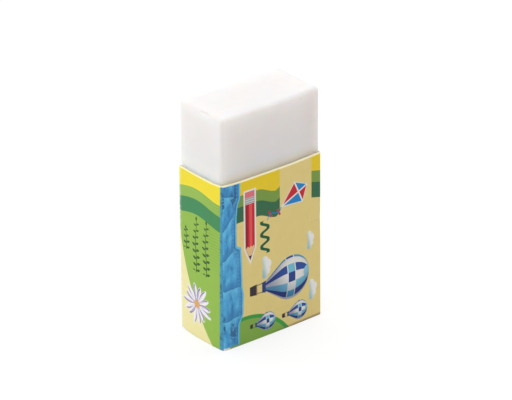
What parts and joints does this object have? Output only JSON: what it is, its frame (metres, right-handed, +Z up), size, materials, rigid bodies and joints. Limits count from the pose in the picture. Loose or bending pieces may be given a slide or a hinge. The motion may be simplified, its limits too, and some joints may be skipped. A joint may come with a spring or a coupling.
{
  "type": "rubber eraser",
  "caption": "Rectangular white vinyl eraser for pencil marks, in a folded, colour-printed card sleeve that slides along it.",
  "frame": {"origin": "centre of the block's lower end, on the surface that it stands on", "axes": "+Z up along the block's length, X across its broad faces, Y through its thickness; the glued side of the sleeve faces +X"},
  "size_m": [0.022, 0.0118, 0.043],
  "materials": {
    "white_vinyl": "satin white vinyl",
    "printed_card": "printed card with a light varnish, uncoated inside"
  },
  "bodies": {
    "block": {"eraser_block": "white_vinyl"},
    "sleeve": {"card_sleeve": "printed_card"}
  },
  "joints": [
    {"name": "sleeve_slide", "type": "slide", "parent": "block", "child": "sleeve", "axis": [0, 0, 1], "range_m": [0, 0.0121]}
  ]
}
